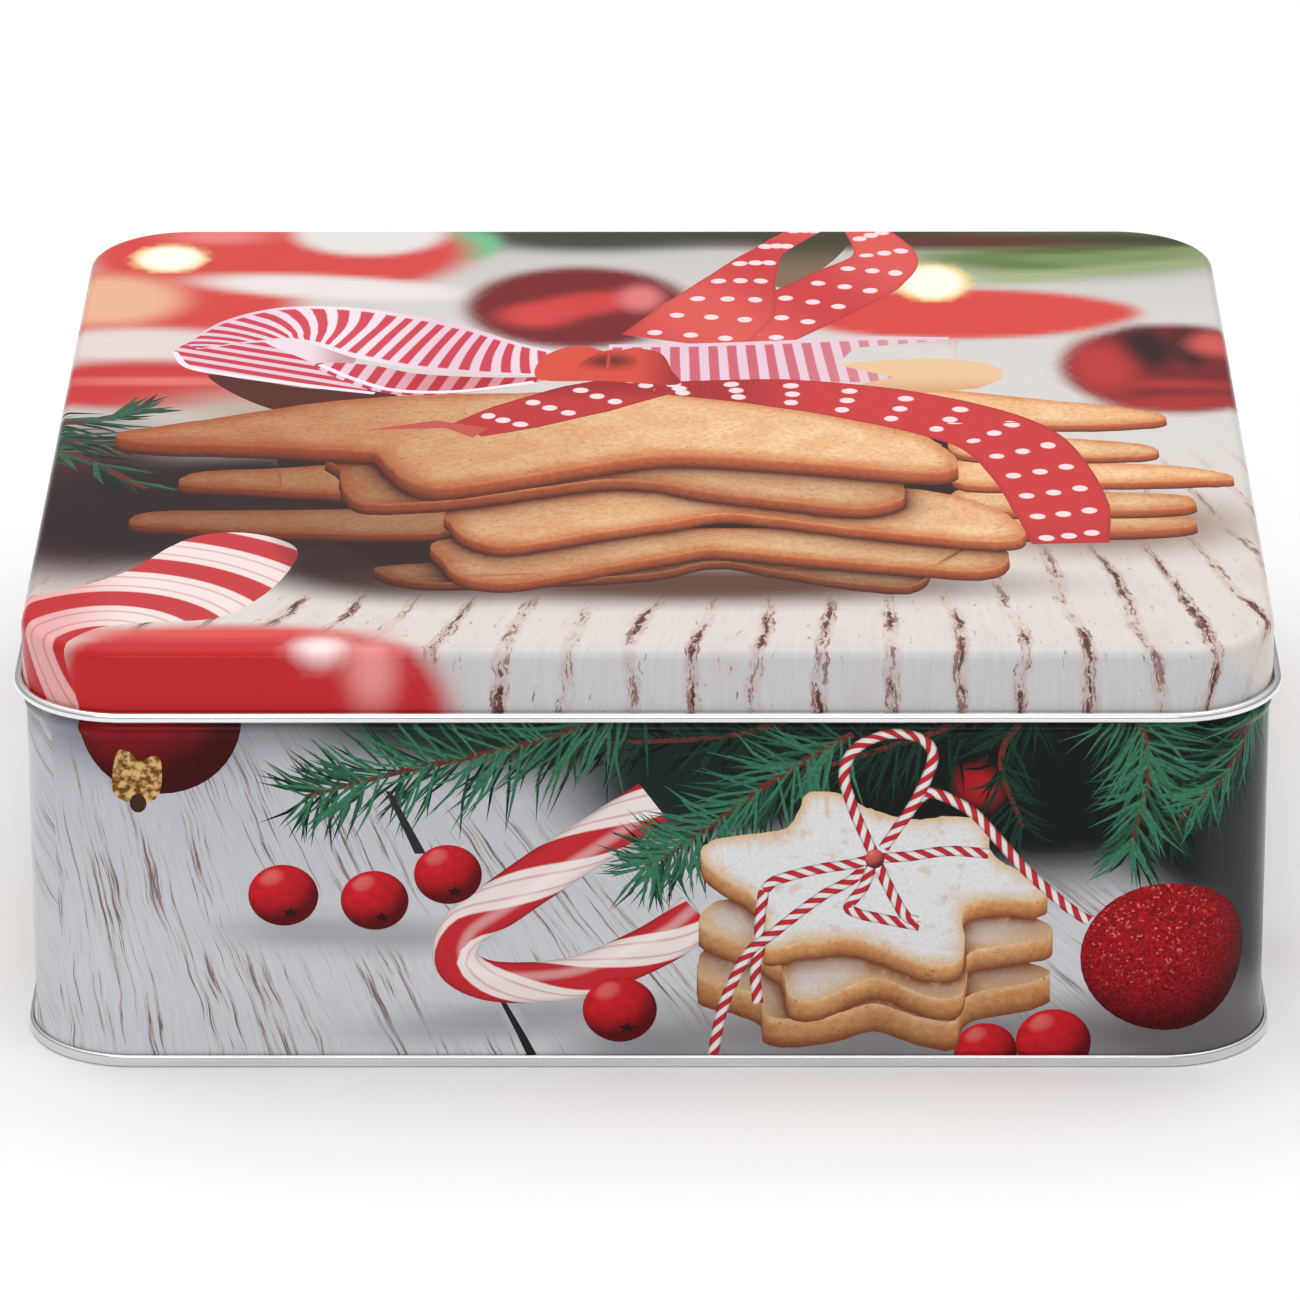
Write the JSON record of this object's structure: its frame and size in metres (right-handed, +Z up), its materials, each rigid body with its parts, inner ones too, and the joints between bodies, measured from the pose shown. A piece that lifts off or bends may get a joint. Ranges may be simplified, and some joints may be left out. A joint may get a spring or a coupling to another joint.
{
  "type": "cookie tin",
  "caption": "Square printed tinplate biscuit tin with rounded corners, a lift-off slip lid with a rolled rim, a stop bead and a seamed base.",
  "frame": {"origin": "centre of the footprint, on the surface the tin stands on", "axes": "+Z up, the tin's height; the front of the print faces -Y; +X to the right seen from the front"},
  "size_m": [0.2244, 0.2244, 0.0797],
  "materials": {
    "printed_tinplate_lid": "tinplate lithographed in full colour, with a clear gloss varnish",
    "printed_tinplate_wall": "tinplate lithographed in full colour, with a clear gloss varnish",
    "bare_tinplate": "bright bare tinplate with a fine rolled grain"
  },
  "bodies": {
    "tin_body": {"body_wall": "printed_tinplate_wall", "body_side_seam": "bare_tinplate", "body_mouth_hem": "bare_tinplate", "base_panel": "bare_tinplate", "base_seam_ring": "bare_tinplate"},
    "lid": {"lid_shell": "printed_tinplate_lid", "lid_rim_curl": "bare_tinplate"}
  },
  "joints": [
    {"name": "lid_lift", "type": "slide", "parent": "tin_body", "child": "lid", "axis": [0, 0, 1], "range_m": [0, 0.12]}
  ]
}
